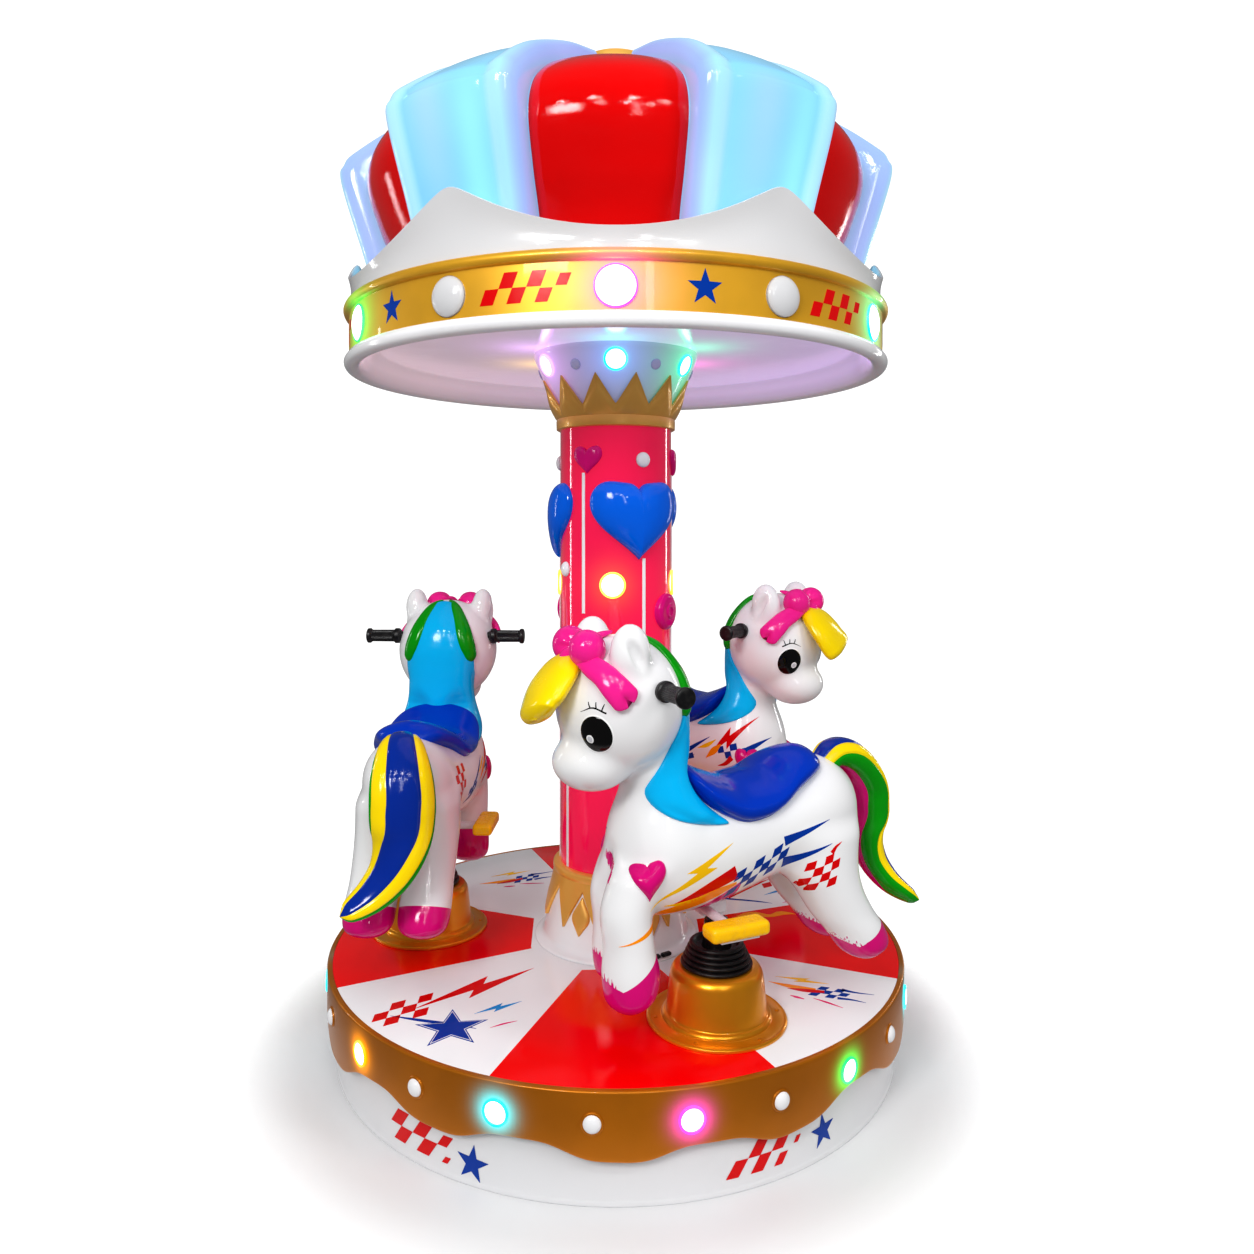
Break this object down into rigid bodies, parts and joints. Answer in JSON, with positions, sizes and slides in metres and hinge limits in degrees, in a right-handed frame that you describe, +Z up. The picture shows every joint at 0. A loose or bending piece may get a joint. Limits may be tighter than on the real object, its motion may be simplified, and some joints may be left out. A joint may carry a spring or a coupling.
{
  "type": "three-seat fairground carousel",
  "caption": "Small fairground carousel: ponies that bob on pots on a round turntable, round a lit column that carries a lobed, lit canopy.",
  "frame": {"origin": "on the turning axis, at the ground, in the middle of the drum's flat underside", "axes": "+Z up along the turning axis, -Y towards the front, +X to the right as seen from the front"},
  "size_m": [1.4188, 1.4458, 2.463],
  "materials": {
    "white_shell": "glossy moulded shell",
    "red_shell": "high gloss",
    "gold_shell": "metallic gold paint",
    "lit_column": "glossy, lit from inside",
    "lit_blue": "translucent, lit from inside",
    "heart_blue": "glossy",
    "pony_white": "glossy moulded shell",
    "saddle_blue": "glossy",
    "hair_blue": "glossy",
    "forelock_yellow": "glossy",
    "tail_bands": "glossy, in coloured bands",
    "black_rubber": "matt rubber",
    "bar_black": "bar with rubber grips",
    "pedal_yellow": "painted"
  },
  "bodies": {
    "base": {"base_drum": "white_shell"},
    "turntable": {"deck": "red_shell", "apron": "gold_shell", "column_foot": "white_shell", "lower_collar": "gold_shell", "column": "lit_column", "upper_collar": "gold_shell", "upper_bowl": "white_shell", "big_heart_1": "heart_blue", "big_heart_2": "heart_blue", "big_heart_3": "heart_blue", "canopy_ceiling": "white_shell", "canopy_band": "gold_shell", "crown_skirt": "white_shell", "lantern_shell": "lit_blue", "red_panel_1": "red_shell", "red_panel_2": "red_shell", "red_panel_3": "red_shell", "red_panel_4": "red_shell", "red_panel_5": "red_shell", "red_panel_6": "red_shell", "gold_cap": "gold_shell", "pony_1_pot": "gold_shell", "pony_1_bellows": "black_rubber", "pony_2_pot": "gold_shell", "pony_2_bellows": "black_rubber", "pony_3_pot": "gold_shell", "pony_3_bellows": "black_rubber"},
    "pony_1": {"pony_1_body": "pony_white", "pony_1_saddle": "saddle_blue", "pony_1_mane": "hair_blue", "pony_1_bow": "forelock_yellow", "pony_1_tail": "tail_bands", "pony_1_handlebar": "bar_black", "pony_1_footrest": "pedal_yellow"},
    "pony_2": {"pony_2_body": "pony_white", "pony_2_saddle": "saddle_blue", "pony_2_mane": "hair_blue", "pony_2_bow": "forelock_yellow", "pony_2_tail": "tail_bands", "pony_2_handlebar": "bar_black", "pony_2_footrest": "pedal_yellow"},
    "pony_3": {"pony_3_body": "pony_white", "pony_3_saddle": "saddle_blue", "pony_3_mane": "hair_blue", "pony_3_bow": "forelock_yellow", "pony_3_tail": "tail_bands", "pony_3_handlebar": "bar_black", "pony_3_footrest": "pedal_yellow"}
  },
  "joints": [
    {"name": "turntable_spin", "type": "hinge", "parent": "base", "child": "turntable", "pos_m": [0, 0, 0.2], "axis": [0, 0, 1], "continuous": true},
    {"name": "pony_1_bob", "type": "slide", "parent": "turntable", "child": "pony_1", "axis": [0, 0, 1], "range_m": [-0.01, 0.06], "deforming": ["pony_1_bellows"]},
    {"name": "pony_2_bob", "type": "slide", "parent": "turntable", "child": "pony_2", "axis": [0, 0, 1], "range_m": [-0.04, 0.03], "deforming": ["pony_2_bellows"]},
    {"name": "pony_3_bob", "type": "slide", "parent": "turntable", "child": "pony_3", "axis": [0, 0, 1], "range_m": [-0.022, 0.048], "deforming": ["pony_3_bellows"]}
  ]
}
